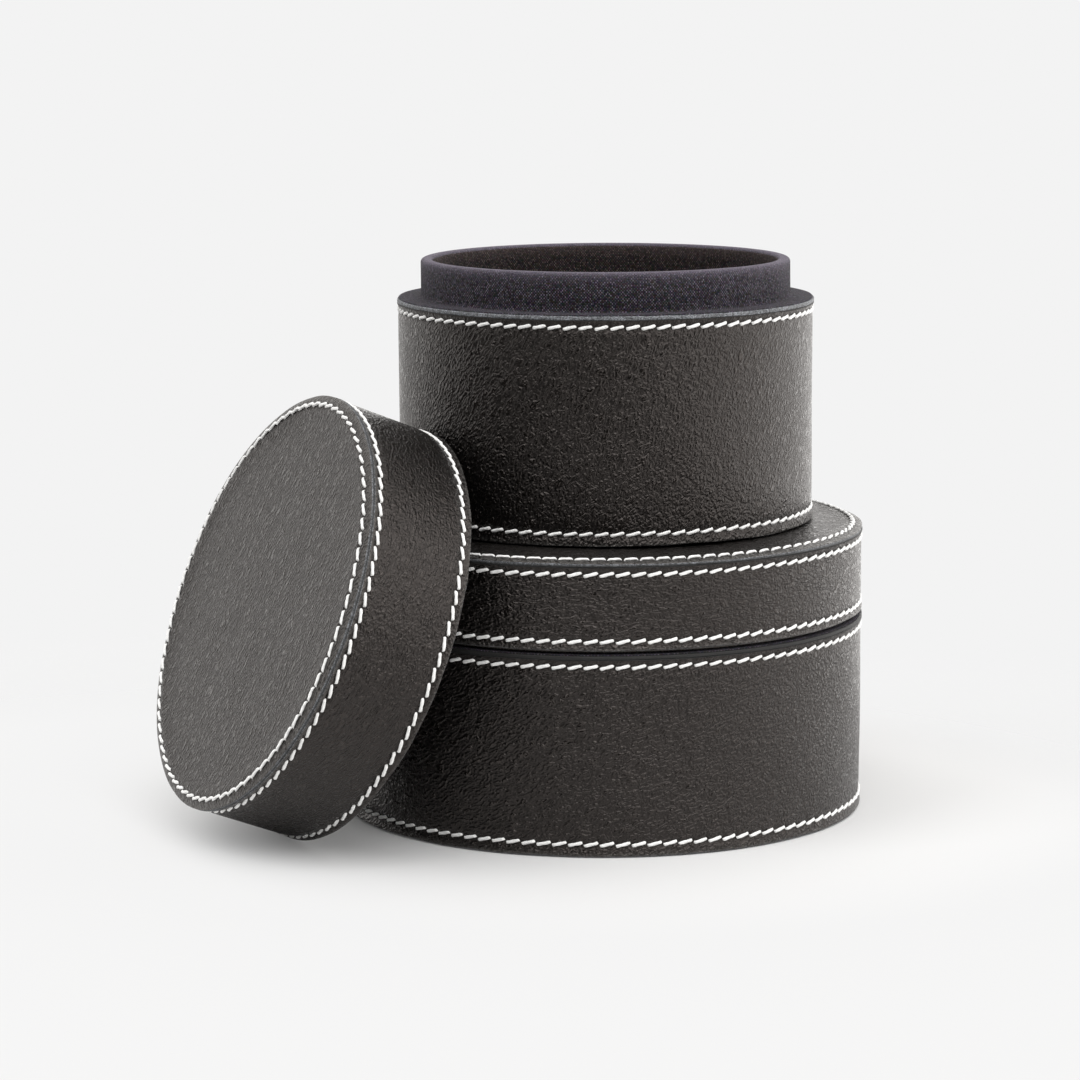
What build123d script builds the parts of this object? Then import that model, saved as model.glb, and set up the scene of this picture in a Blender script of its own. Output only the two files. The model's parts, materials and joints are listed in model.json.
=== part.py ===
"""Set of two round leather-covered collar boxes, in millimetres with +Z up.

The large box is closed. The small box stands open on its lid, and the small box's lid leans on them.
The origin is on the floor under the middle of the large box, and the front faces -Y.
"""
from build123d import *
import math
import os

# Overall sizes over the leather; a body's height runs from its underside to the shoulder under its lid
LARGE_DIAMETER = 190.5
LARGE_BODY_HEIGHT = 71.5
LARGE_LID_HEIGHT = 32.0
SMALL_DIAMETER = 152.4
SMALL_BODY_HEIGHT = 81.6
SMALL_LID_HEIGHT = 41.5

# The collar inside each body: its step in from the outside, its wall, its rise and its rounded rim
SHOULDER_WIDTH = 8.8
COLLAR_WALL = 4.5
COLLAR_RISE = 14.0
COLLAR_RIM = 1.5

# Thickness of each layer, with the ring of leather on the shoulder and the canvas's fold over the rim
LEATHER = 1.8
SHOULDER_LEATHER = 1.4
CLOTH = 0.4
RIM_FOLD = 0.8
BASE_BOARD = 4.0
LID_BOARD = 4.0
BASE_COVER = 1.6

# Leather: the bevel of a free cut edge and how far it flares past the wall, the distance from an edge
# to its row of stitches and from a seam to the row below it, how deep the thread draws the leather
# in, how far the hem of a body and of a lid stays above what it stands on, and the butt joint behind
EDGE_BEVEL = 0.5
EDGE_FLARE = 0.5
STITCH_INSET = 4.2
SEAM_INSET = 2.6
STITCH_DEPTH = 0.4
HEM_LIFT = 0.5
RIM_LIFT = 1.2
BUTT_JOINT = 0.3

# Clearances: glue line between round layers, lid over collar, and one box or lid seated on another
GLUE_LINE = 0.1
LID_FIT = 0.4
SEAT_GAP = 0.3

# Where the small box's middle stands on the large lid
SMALL_BOX_X = 1.5
SMALL_BOX_Y = 9.7

# The leaning lid: the bearing its face looks along and how far the face looks up, both in degrees,
# its middle's distance to the side of the small box's middle, and its clearance to the boxes
LEAN_BEARING = 205.4
LEAN_TILT = 22.0
LEAN_SIDEWAYS = 13.0
LEAN_GAP = 0.8
RIM_POINTS = 720
HALVINGS = 30


class BoxSizes:
    """Radii and heights of one box and its lid, each measured from its own underside."""

    def __init__(self, diameter, body_height, lid_height):
        self.radius = diameter / 2
        self.wall = self.radius - EDGE_FLARE
        self.leather_inside = self.wall - LEATHER
        self.board_outside = self.leather_inside - GLUE_LINE
        self.collar_outside = self.radius - SHOULDER_WIDTH
        self.collar_inside = self.collar_outside - COLLAR_WALL
        self.core_inside = self.collar_outside - CLOTH
        self.floor_board_top = BASE_COVER + BASE_BOARD
        self.shoulder = body_height
        self.shoulder_leather_top = body_height - CLOTH
        self.body_seam = self.shoulder_leather_top - SHOULDER_LEATHER
        self.collar_top = body_height + COLLAR_RISE
        self.lining_inside = self.collar_outside + LID_FIT
        self.lining_outside = self.lining_inside + CLOTH
        self.lid_height = lid_height
        self.lid_board_top = lid_height - LEATHER
        self.lid_board_bottom = self.lid_board_top - LID_BOARD
        self.lid_ceiling = self.lid_board_bottom - CLOTH


def corners(*points):
    """Straight runs of an outline through (radius, height) points."""
    return Polyline(*[(radius, 0, height) for radius, height in points])


def arc(start, through, end):
    """Round stretch of an outline through three (radius, height) points."""
    return ThreePointArc(*[(radius, 0, height) for radius, height in (start, through, end)])


def round_corner(centre_radius, centre_height, size, first, last):
    """Quarter round of an outline about a centre, between two bearings in degrees."""
    bearings = [math.radians(bearing) for bearing in (first, (first + last) / 2, last)]
    return arc(*[(centre_radius + size * math.cos(bearing), centre_height + size * math.sin(bearing))
                 for bearing in bearings])


def turned(outline):
    """Solid turned about Z from a closed outline."""
    return revolve(make_face(outline), Axis.Z)


def disc(radius, low, high):
    """Round board or cloth disc between two heights."""
    return turned(corners((0, low), (radius, low), (radius, high), (0, high), (0, low)))


def tube(outside, inside, low, high):
    """Upright tube between two radii and two heights."""
    return turned(corners((inside, low), (outside, low), (outside, high), (inside, high), (inside, low)))


def leather_band(sizes, low, seam, row_low):
    """Leather round a wall from its free edge to a seam, drawn in along two rows, butt-jointed behind."""
    edge, drawn_in = sizes.radius, sizes.wall - STITCH_DEPTH
    edge_low, row_high = low + EDGE_BEVEL, seam - SEAM_INSET
    band = turned(corners(
        (sizes.leather_inside, low), (edge - EDGE_BEVEL, low), (edge, edge_low), (drawn_in, row_low),
        (sizes.wall, 2 * row_low - edge_low), (sizes.wall, 2 * row_high - seam), (drawn_in, row_high),
        (edge, seam), (sizes.leather_inside, seam), (sizes.leather_inside, low),
    ))
    across = 2 * (LEATHER + EDGE_FLARE + GLUE_LINE)
    return band - Pos(0, sizes.leather_inside, (low + seam) / 2) * Box(BUTT_JOINT, across, 2 * (seam - low))


def leather_top(sizes):
    """Leather on a lid's face, bevelled round its edge and drawn in along its row of stitches."""
    low, high = sizes.lid_board_top, sizes.lid_height
    edge, row = sizes.radius - EDGE_BEVEL, sizes.radius - STITCH_INSET
    return turned(corners(
        (0, low), (sizes.radius, low), (sizes.radius, high - EDGE_BEVEL), (edge, high),
        (row, high - STITCH_DEPTH), (2 * row - edge, high), (0, high), (0, low),
    ))


def collar_cloth(sizes):
    """One strip of canvas: over the shoulder, up the collar, round its rim and down inside to the base."""
    outside, inside, edge = sizes.collar_outside, sizes.collar_inside, sizes.radius - EDGE_BEVEL
    low, high, shoulder = sizes.floor_board_top, sizes.collar_top, sizes.shoulder
    board_top, shoulder_low = high - RIM_FOLD, sizes.shoulder_leather_top
    round_out, round_in, round_low = outside - COLLAR_RIM, inside + COLLAR_RIM, high - COLLAR_RIM
    outline = corners((edge, shoulder), (outside, shoulder), (outside, round_low))
    outline += round_corner(round_out, round_low, COLLAR_RIM, 0, 90)
    outline += corners((round_out, high), (round_in, high))
    outline += round_corner(round_in, round_low, COLLAR_RIM, 90, 180)
    outline += corners(
        (inside, round_low), (inside, low), (inside + CLOTH, low), (inside + CLOTH, board_top),
        (outside - CLOTH, board_top), (outside - CLOTH, shoulder_low), (edge, shoulder_low),
        (edge, shoulder),
    )
    return turned(outline)


def lid_lining_band(sizes):
    """Canvas inside a lid's wall, turned out under the board's edge as far as the leather."""
    inside, outside, edge = sizes.lining_inside, sizes.lining_outside, sizes.board_outside
    return turned(corners(
        (inside, 0), (edge, 0), (edge, CLOTH), (outside, CLOTH), (outside, sizes.lid_ceiling),
        (inside, sizes.lid_ceiling), (inside, 0),
    ))


def body_pieces(sizes):
    """Pieces of a box without its lid, from the underside up."""
    inner_floor = sizes.floor_board_top
    board_outside = sizes.collar_outside - CLOTH - GLUE_LINE
    board_inside = sizes.collar_inside + CLOTH + GLUE_LINE
    return {
        "base_cover": disc(sizes.board_outside, 0, BASE_COVER),
        "body_core": tube(sizes.board_outside, sizes.core_inside, BASE_COVER, sizes.body_seam),
        "base_board": disc(sizes.core_inside - GLUE_LINE, BASE_COVER, inner_floor),
        "base_lining": disc(sizes.collar_inside - GLUE_LINE, inner_floor, inner_floor + CLOTH),
        "collar_board": tube(board_outside, board_inside, inner_floor, sizes.collar_top - RIM_FOLD),
        "collar_cloth": collar_cloth(sizes),
        "shoulder_leather": tube(sizes.radius, sizes.core_inside, sizes.body_seam,
                                 sizes.shoulder_leather_top),
        "body_leather": leather_band(sizes, HEM_LIFT, sizes.body_seam, HEM_LIFT + STITCH_INSET),
    }


def lid_pieces(sizes):
    """Pieces of a lid with its open rim at zero and its face up."""
    core_inside = sizes.lining_outside + GLUE_LINE
    return {
        "lid_core": tube(sizes.board_outside, core_inside, CLOTH, sizes.lid_board_bottom),
        "lid_board": disc(sizes.board_outside, sizes.lid_board_bottom, sizes.lid_board_top),
        "lid_lining_band": lid_lining_band(sizes),
        "lid_lining_disc": disc(sizes.lining_outside, sizes.lid_ceiling, sizes.lid_board_bottom),
        "lid_band": leather_band(sizes, RIM_LIFT, sizes.lid_board_top, STITCH_INSET),
        "lid_top": leather_top(sizes),
    }


def lean_plane(lid, stand_off):
    """Rim plane of the leaning lid, its lowest edge on the floor, this far out from the small box."""
    bearing, tilt = math.radians(LEAN_BEARING), math.radians(LEAN_TILT)
    outward = Vector(math.cos(bearing), math.sin(bearing), 0)
    sideways = Vector(-math.sin(bearing), math.cos(bearing), 0)
    upward = Vector(0, 0, math.cos(tilt)) - outward * math.sin(tilt)
    facing = Vector(0, 0, math.sin(tilt)) + outward * math.cos(tilt)
    rest_height = lid.radius * math.cos(tilt) - (RIM_LIFT + EDGE_BEVEL) * math.sin(tilt)
    middle = Vector(SMALL_BOX_X, SMALL_BOX_Y, rest_height)
    middle += outward * stand_off + sideways * LEAN_SIDEWAYS
    return Plane(middle, x_dir=upward, z_dir=facing)


def circle_points(plane, radius):
    """Points evenly spaced round a circle on a plane, in the boxes' frame."""
    points = []
    for count in range(RIM_POINTS):
        turn = 2 * math.pi * count / RIM_POINTS
        points.append(plane.from_local_coords(Vector(radius * math.cos(turn), radius * math.sin(turn), 0)))
    return points


def room_outside(point, x, y, radius, low, high):
    """How far a point is outside an upright cylinder, negative when it is inside."""
    return max(math.hypot(point.X - x, point.Y - y) - radius, point.Z - high, low - point.Z)


def room_in_lid(lid, place):
    """How far a point in the lid's own frame is clear of its wall and top, negative when inside them."""
    radius = math.hypot(place.X, place.Y)
    off_wall = max(lid.lining_inside - radius, radius - lid.radius, -place.Z)
    return min(off_wall, max(lid.lid_ceiling - place.Z, radius - lid.radius))


def lean_room(large, small, lid_top, stand_off):
    """Least room between the leaning lid and both boxes for one stand-off."""
    plane = lean_plane(small, stand_off)
    small_low = lid_top + SEAT_GAP
    rim_circles = [(RIM_LIFT + EDGE_BEVEL, small.radius), (RIM_LIFT, small.radius - EDGE_BEVEL),
                   (0, small.board_outside), (0, small.lining_inside)]
    rooms = []
    for lift, radius in rim_circles:
        for point in circle_points(plane.offset(lift), radius):
            rooms.append(room_outside(point, 0, 0, large.radius, 0, lid_top))
            rooms.append(room_outside(point, SMALL_BOX_X, SMALL_BOX_Y, small.wall,
                                      small_low, small_low + small.shoulder))
    for point in circle_points(Plane.XY.offset(lid_top), large.radius):
        rooms.append(room_in_lid(small, plane.to_local_coords(point)))
    return min(rooms)


def leaning_place(large, small, lid_top):
    """Rim plane of the small lid brought in along its bearing until only its clearance is left."""
    near, far = 0, 2 * (large.radius + small.radius)
    for _ in range(HALVINGS):
        middle = (near + far) / 2
        if lean_room(large, small, lid_top, middle) < LEAN_GAP:
            near = middle
        else:
            far = middle
    return lean_plane(small, far)


def placed(prefix, pieces, place):
    """Pieces moved to a place, named for their box."""
    return {prefix + name: place * piece for name, piece in pieces.items()}


large = BoxSizes(LARGE_DIAMETER, LARGE_BODY_HEIGHT, LARGE_LID_HEIGHT)
small = BoxSizes(SMALL_DIAMETER, SMALL_BODY_HEIGHT, SMALL_LID_HEIGHT)
large_lid_low = large.shoulder + SEAT_GAP
large_lid_top = large_lid_low + large.lid_height
small_box_place = Pos(SMALL_BOX_X, SMALL_BOX_Y, large_lid_top + SEAT_GAP)
small_lid_plane = leaning_place(large, small, large_lid_top)

nodes = {
    **placed("large_", body_pieces(large), Pos(0, 0, 0)),
    **placed("large_", lid_pieces(large), Pos(0, 0, large_lid_low)),
    **placed("small_", body_pieces(small), small_box_place),
    **placed("small_", lid_pieces(small), small_lid_plane.location),
}

os.makedirs("parts", exist_ok=True)
for name, piece in nodes.items():
    export_step(piece, "parts/" + name + ".step")
print("pieces:", len(nodes))
print("leaning lid's rim middle:", small_lid_plane.origin, "facing:", small_lid_plane.z_dir)
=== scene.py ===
"""Looks for the set of two round leather-covered collar boxes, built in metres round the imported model.

Each box has a leather side, a canvas-covered collar and a lid. Leather, canvas and thread are modelled
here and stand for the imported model's soft solids; its boards stay and get a material.
"""
import json
import math

import bpy
import numpy as np
from mathutils import Matrix, Vector


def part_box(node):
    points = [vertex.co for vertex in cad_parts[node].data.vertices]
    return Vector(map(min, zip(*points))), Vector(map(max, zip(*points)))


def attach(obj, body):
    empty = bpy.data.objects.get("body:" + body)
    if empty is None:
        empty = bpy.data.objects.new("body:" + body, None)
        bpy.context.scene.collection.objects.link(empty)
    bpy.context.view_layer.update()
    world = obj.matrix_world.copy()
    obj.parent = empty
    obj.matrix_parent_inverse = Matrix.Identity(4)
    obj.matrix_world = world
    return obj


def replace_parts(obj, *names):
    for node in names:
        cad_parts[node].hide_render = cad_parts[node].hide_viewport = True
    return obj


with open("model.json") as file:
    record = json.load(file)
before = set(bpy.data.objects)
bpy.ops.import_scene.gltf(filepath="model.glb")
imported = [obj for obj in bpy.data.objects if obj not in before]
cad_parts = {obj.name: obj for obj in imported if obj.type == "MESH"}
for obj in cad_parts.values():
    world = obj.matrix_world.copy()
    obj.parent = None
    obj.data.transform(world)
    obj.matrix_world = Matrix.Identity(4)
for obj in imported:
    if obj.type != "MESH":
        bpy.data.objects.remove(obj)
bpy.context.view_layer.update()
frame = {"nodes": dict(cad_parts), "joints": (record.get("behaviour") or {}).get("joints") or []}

MM = 0.001
FULL_TURN = 2 * math.pi

# Bearing of +Y, the back, where every turned piece starts and the leather has its butt joints
BACK = math.pi / 2

# Driving sizes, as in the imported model
BODY_HEIGHT = {"large": 71.5 * MM, "small": 81.6 * MM}
LID_HEIGHT = {"large": 32.0 * MM, "small": 41.5 * MM}
SHOULDER_WIDTH = 8.8 * MM
COLLAR_WALL = 4.5 * MM
COLLAR_RISE = 14.0 * MM
COLLAR_RIM = 1.5 * MM
LEATHER = 1.8 * MM
SHOULDER_LEATHER = 1.4 * MM
CLOTH = 0.4 * MM
RIM_FOLD = 0.8 * MM
BASE_COVER = 1.6 * MM
BASE_BOARD = 4.0 * MM
LID_BOARD = 4.0 * MM
EDGE_BEVEL = 0.5 * MM
EDGE_FLARE = 0.5 * MM
STITCH_INSET = 4.2 * MM
SEAM_INSET = 2.6 * MM
STITCH_DEPTH = 0.4 * MM
HEM_LIFT = 0.5 * MM
RIM_LIFT = 1.2 * MM
BUTT_JOINT = 0.3 * MM
GLUE_LINE = 0.1 * MM
LID_FIT = 0.4 * MM

# Softer shapes that only show here: the round of an edge at a seam and of the shoulder's worn leather,
# the canvas's curve at the collar's foot, a lid face's row of stitches and its border, which stands up
# along that row and falls to the cut edge, and how suddenly a side flares
SEAM_ROUND = 0.35 * MM
SHOULDER_WORN = 0.6 * MM
COLLAR_FOOT = 1.0 * MM
FACE_INSET = 3.75 * MM
FACE_BORDER = 11.0 * MM
FACE_RISE = 0.60 * MM
FACE_FALL = 0.45 * MM
FLARE_POWER = 1.5

# How far a side shows its cut raw from its free edge and from its seam, how far below a face's top its
# cut edge starts, and how near the collar's inside its inner canvas starts
RAW_HEM = EDGE_BEVEL / 3
RAW_SEAM = SEAM_ROUND / 2
RAW_FACE = EDGE_BEVEL * 0.6
INNER_CANVAS_START = COLLAR_RIM / 8

# Needle work: how many stitches go round each row of a box's side and of its lid's face, how wide the
# leather is drawn in along a row, and the depth, width and length of the dent round each needle hole
SIDE_STITCHES = {"large": 107, "small": 86}
FACE_STITCHES = {"large": 102, "small": 81}
VALLEY_WIDTH = 1.5 * MM
HOLE_DEPTH = 0.30 * MM
HOLE_WIDTH = 0.5 * MM
HOLE_LENGTH = 1.0 * MM

# One stitch: the thread's half width and half height, how far it climbs across its row, its share of
# the pitch, how high its middle stands over the drawn-in leather, how deep its ends dive into their
# holes, how suddenly, and how much thinner they are there, and its two strands
THREAD_HALF_WIDTH = 0.58 * MM
THREAD_HALF_HEIGHT = 0.48 * MM
STITCH_CLIMB = 1.25 * MM
STITCH_SHARE = 0.955
THREAD_STANDS = 0.31 * MM
THREAD_DIVES = 0.65 * MM
DIVE_POWER = 8
THREAD_TAPER = 0.3
STRAND_SHARE = 0.09
STRAND_TURNS = 0.9
THREAD_RINGS = 17
THREAD_SIDES = 14

# How stitches differ: least and most shares of their length, climb and stand, and how far they stray
LENGTH_SHARES = (0.965, 1.0)
CLIMB_SHARES = (0.9, 1.1)
STAND_SHARES = (0.85, 1.15)
STRAY_ACROSS = 0.05 * MM
STRAY_ALONG = 0.04 * MM

# Unevenness of the hand-worked surfaces: its height, its most waves round and its shortest wave across;
# and how many ripples make it up, and the least strength of one
SIDE_SWELL = (0.11 * MM, 9, 55 * MM)
FACE_SWELL = (0.11 * MM, 6, 45 * MM)
CANVAS_SWELL = (0.05 * MM, 22, 18 * MM)
EDGE_WAVER = (0.09 * MM, 24, 90 * MM)
RING_WAVER = (0.09 * MM, 30, 90 * MM)
RIPPLES = 14
LEAST_RIPPLE = 0.5

# Within these of its axis a lid's face, as a share of its radius, and a canvas lie calmer
FACE_CALM_SHARE = 0.5
CANVAS_CALM = 20 * MM

# How far wear reaches from a side's free edge and a face's edge, how far wear and painted sheen reach from
# a rim, how far a seam stays dark, and how pale the cut edge on each shoulder is painted: pale as painted
# light on the small box, lit from above, and left black on the large one under its lid
WEAR_REACH = 0.9 * MM
FACE_WEAR_REACH = 2.2 * MM
RIM_WEAR_AND_SHEEN_REACH = 1.6 * MM
SEAM_DARK = 0.45 * MM
SHOULDER_PAINTED_LIGHT = {"large": 0.0, "small": 1.0}

# Which way the hide lies on each piece of leather, as an angle
GRAIN_LIE = {
    "large_side_leather": -0.45, "large_lid_side_leather": -0.05, "large_lid_face_leather": 0.3,
    "small_side_leather": -1.0, "small_lid_side_leather": 0.2, "small_lid_face_leather": 0.15,
}

# Steps of the meshes: near stitched edges, on plain walls, and round each piece; and how far a piece
# stays inside its outline's widest circle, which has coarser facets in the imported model
FINE_STEP = 0.4 * MM
WALL_STEP = 2.0 * MM
EDGE_ZONE = 8.0 * MM
ARC_STEPS = 5
COLUMNS_PER_STITCH = 8
CLOTH_COLUMNS = 360
FLOOR_COLUMNS = 128
SHARP_ANGLE = math.radians(58)
CLEARANCE = 0.02 * MM

# Seeds of what is drawn at random for each body, and what is added for its pieces
SEEDS = {"large_body": 100, "large_lid": 200, "small_body": 300, "small_lid": 400}
EDGE_SEED = 2
CLOTH_SEED = 3
SIDE_THREAD_SEED = 10
FACE_THREAD_SEED = 20

# In the materials, a noise is its features to a millimetre, its detail and its roughness. A bend is a
# noise's features to a millimetre and its push in millimetres. Fibres are a stretch each way and a
# noise, and folds a stretch, their features to a millimetre and their width. A ramp is the values that
# it goes between and what it gives at each, tones are a ramp and two tones, and a stain is a ramp and
# the tone that it lays on.
#
# Leather: its grain, the share that each part of it has in its height, and its colours
HIDE_BENDS = ((0.16, 2.6), (0.8, 0.5))
PEBBLE_STRETCH = (0.72, 1.0, 1.0)
PEBBLE_SCALE = 0.80
PEBBLE_RAMP = (0.0, 0.42)
FOLDS = ((0.36, 1.0, 1.0), 0.62, 0.15)
CROSS_FOLDS = ((1.0, 0.6, 1.0), 0.60, 0.18)
WAVES = ((0.36, 1.0, 1.0), 0.62, 1.5)
HIDE_SHARES = (0.20, 0.42, 0.18, 0.50)
LEATHER_RELIEF = 0.60 * MM
PATCH_NOISE = (0.05, 3.0)
PATCH_TONES = ((0.3, 0.7), (0.0028, 0.0023, 0.0020), (0.0048, 0.0040, 0.0035))
# Painted shade in the creases of the grain: a ramp on its height, and the dark tone
PAINTED_CREASE_SHADE = ((0.60, 0.90, 0.95, 0.0), (0.0008, 0.0008, 0.0008))
# Painted highlight on the ridges of the grain: a ramp on its height, and the pale tone
PAINTED_RIDGE_HIGHLIGHT = ((0.80, 1.08, 0.0, 0.30), (0.014, 0.0120, 0.0110))
RUB_NOISE = (0.9, 3.0)
RUB_RAMP = (0.3, 0.65)
RUB_SHARE = 0.8
RUBBED_GREY = (0.105, 0.103, 0.098)
# Painted shade in the dents round the needle holes and along the seams: a ramp on the wear below zero, and
# the dark tone
PAINTED_DENT_SHADE = ((-0.45, -0.02, 0.85, 0.0), (0.001, 0.001, 0.001))
ROUGH_RAMP = (0.55, 0.98, 0.40, 0.17)
DENT_ROUGH_RAMP = (-0.45, -0.02, 0.25, 0.0)

# Cut edge of leather
MOTTLE_NOISE = (0.7, 3.0, 0.65)
MOTTLE_TONES = ((0.38, 0.62), (0.170, 0.175, 0.185), (0.320, 0.335, 0.365))
EDGE_FIBRES = ((1.0, 1.0, 1.8), 1.7, 3.0, 0.7)
DYED_BLACK = (0.010, 0.0095, 0.009)
SPECK_STAIN = ((0.42, 0.60, 0.85, 0.0), (0.012, 0.012, 0.012))
EDGE_RELIEF = 0.22 * MM

# Canvas: from one yarn to the next in millimetres; how chance lets a yarn pass over out of turn; how
# round the yarns are, and how high those below stand; and how much paler than its light tone it gets
CANVAS_BEND = (0.10, 0.5)
YARN_PITCH = 0.58
CHANCE_SHARE = 1.25
OVER_LIMIT = 1.05
YARN_POWER = 0.4
UNDER_HEIGHT = 0.55
TINT_STRETCH = (1.0, 0.5, 1.0)
TINT_STRENGTH = 2.0
TINT_SHARE = 0.15
SLUBS = ((0.9, 0.10, 1.0), 1.0, 2.0)
HEATHER_SHARES = (0.8, 0.4)
HEATHER_RAMP = (0.4, 1.1)
HEATHER_STRENGTHS = (0.5, 3.0)
FUZZ_NOISE = (1.6, 3.0, 0.7)
# Painted shade in the gaps between yarns: a ramp on their height, and the dark tone
PAINTED_YARN_GAP_SHADE = ((0.05, 0.6, 0.8, 0.0), (0.004, 0.003, 0.004))
# Where the canvas is rubbed and given painted sheen on its rim, and how much paler it gets there
CANVAS_RUB_AND_SHEEN_RAMP = (0.35, 0.65, 0.05, 0.85)
CANVAS_RUB_AND_SHEEN_STRENGTH = 2.8
WEAVE_SHARES = (0.8, 0.4)
CANVAS_RELIEF = 0.26 * MM
CANVAS_SHEEN = (0.86, 0.84, 0.95)

# Dark tone, light tone and sheen of the canvas outside and inside
CHARCOAL = ((0.004, 0.003, 0.0045), (0.080, 0.070, 0.089), 0.07)
INNER_CHARCOAL = ((0.002, 0.0015, 0.0015), (0.062, 0.047, 0.045), 0.02)

# Thread
THREAD_FIBRES = ((4.0, 0.8, 1.0), 2.2, 2.0, 0.6)
THREAD_TONES = ((0.35, 0.65), (0.88, 0.875, 0.86), (0.95, 0.95, 0.94))
SOIL_NOISE = (0.35, 3.0)
SOIL_STAIN = ((0.55, 0.8, 0.0, 0.25), (0.62, 0.60, 0.56))
THREAD_RELIEF = 0.06 * MM

# Board
FLECKS = ((1.0, 1.0, 3.0), 1.6, 4.0, 0.65)
FLECK_TONES = ((0.35, 0.65), (0.10, 0.093, 0.085), (0.17, 0.158, 0.145))
LAYERS = ((0.05, 0.05, 2.2), 1.0, 2.0)
LAYER_STAIN = ((0.4, 0.6, 0.35, 0.0), (0.06, 0.055, 0.05))
BOARD_RELIEF = 0.08 * MM

# The floor, in metres: its middle, radius and thickness, where it fades out, its tone, and how the
# flat background tone takes over from its shaded one with the distance from the boxes
FLOOR_MIDDLE = (-0.10, -0.15, 0.0)
FLOOR_RADIUS = 0.66
FLOOR_THICKNESS = 0.0018
FLOOR_FADE = (0.30, 0.52)
FLOOR_TONE = (0.70, 0.70, 0.70)
FLAT_RAMP = (0.110, 0.210, 0.05, 0.86)
BACKGROUND = (0.896, 0.896, 0.896)

# The studio's light: the direction of each bright side and the ramp of its strength towards it, and
# how the light overhead takes over and how strong it is
STUDIO_WHITE = (1.0, 0.985, 0.965)
KEY_SIDE = ((0.81, 0.59, 0.0), -0.55, 0.95, 0.0, 2.1)
LEFT_SCREEN = ((-0.74, 0.62, 0.26), 0.60, 0.92, 0.0, 1.3)
OVERHEAD = ((0.0, 0.0, 1.0), 0.35, 0.85)
OVERHEAD_STRENGTH = 0.80

# Place, size and power of each lamp, and what they point at
LAMPS = {"front": ((0.6, -1.6, 2.4), 2.6, 57.0), "left": ((-1.5, -0.9, 2.1), 1.4, 21.0)}
LAMP_TARGET = (0.0, 0.0, 0.1)

# The camera: its place in metres, how far it looks down and rolls, and its lens in millimetres
CAMERA_PLACE = (-0.02277, -1.3681, 0.3132)
CAMERA_TILT = 0.157
CAMERA_ROLL = -0.004
CAMERA_LENS = 125.8
CAMERA_SENSOR = 36


class Sizes:
    """Radii and heights of one box and its lid, each measured from its own underside."""

    def __init__(self, which):
        low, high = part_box(which + "_body_leather")
        self.radius = (high.x - low.x) / 2
        self.wall = self.radius - EDGE_FLARE
        self.leather_inside = self.wall - LEATHER
        self.board_outside = self.leather_inside - GLUE_LINE
        self.collar_outside = self.radius - SHOULDER_WIDTH
        self.collar_inside = self.collar_outside - COLLAR_WALL
        self.core_inside = self.collar_outside - CLOTH
        self.floor_board_top = BASE_COVER + BASE_BOARD
        self.shoulder = BODY_HEIGHT[which]
        self.shoulder_leather_top = self.shoulder - CLOTH
        self.body_seam = self.shoulder_leather_top - SHOULDER_LEATHER
        self.collar_top = self.shoulder + COLLAR_RISE
        self.lining_inside = self.collar_outside + LID_FIT
        self.lining_outside = self.lining_inside + CLOTH
        self.lid_height = LID_HEIGHT[which]
        self.lid_seam = self.lid_height - LEATHER
        self.lid_board_bottom = self.lid_seam - LID_BOARD
        self.lid_ceiling = self.lid_board_bottom - CLOTH


def middle(node):
    """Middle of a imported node's box, which for a disc or tube is the middle of its axis."""
    low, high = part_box(node)
    return (low + high) / 2


def upright_place(node):
    """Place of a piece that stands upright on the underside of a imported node."""
    centre = middle(node)
    return Matrix.Translation((centre.x, centre.y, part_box(node)[0].z))


def leaning_place(sizes):
    """Place of the leaning lid: its open rim at zero, its face along the joint that takes it away."""
    joint = next(joint for joint in frame["joints"] if joint["child"] == "small_lid")
    facing = Vector(joint["axis"]).normalized()
    upward = Vector((0, 0, 1))
    upward = (upward - facing * facing.z).normalized()
    core_middle = (CLOTH + sizes.lid_board_bottom) / 2
    place = Matrix((upward, facing.cross(upward), facing)).transposed().to_4x4()
    place.translation = middle("small_lid_core") - facing * core_middle
    return place


# Outlines are closed loops of (radius, height) points that are turned about each piece's own axis

def steps(start, end, step):
    """Even steps from one value to just before another."""
    count = max(1, math.ceil(abs(end - start) / step))
    return list(start + (end - start) * np.arange(count) / count)


def edged_steps(low, high):
    """Steps that are fine near both stitched edges and wider on the wall between."""
    zone = min(EDGE_ZONE, (high - low) / 2)
    return (steps(low, low + zone, FINE_STEP) + steps(low + zone, high - zone, WALL_STEP)
            + steps(high - zone, high, FINE_STEP) + [high])


def round_corner(centre_radius, centre_height, size, first, last):
    """Points of a quarter round about a centre, between two bearings in degrees."""
    bearings = np.radians(np.linspace(first, last, ARC_STEPS))
    return [(centre_radius + size * math.cos(bearing), centre_height + size * math.sin(bearing))
            for bearing in bearings]


def flare(distance, reach):
    """How far the leather springs out at a distance from its cut edge, up to its row of stitches."""
    return EDGE_FLARE * np.clip(1 - distance / reach, 0, 1) ** FLARE_POWER


def side_outline(sizes, low, seam, row_low):
    """Leather round a wall: outer face from its free edge to the seam, inner face flat."""
    free_edge, seam_edge = low + EDGE_BEVEL, seam - SEAM_ROUND
    heights = np.array(edged_steps(free_edge, seam_edge))
    radii = (sizes.wall + flare(heights - free_edge, row_low - free_edge)
             + flare(seam_edge - heights, SEAM_INSET))
    return (round_corner(sizes.radius - EDGE_BEVEL, free_edge, EDGE_BEVEL, -90, 0)[:-1]
            + list(zip(radii, heights))
            + round_corner(sizes.radius - SEAM_ROUND, seam_edge, SEAM_ROUND, 0, 90)[1:]
            + [(sizes.leather_inside, seam), (sizes.leather_inside, low)])


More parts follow.
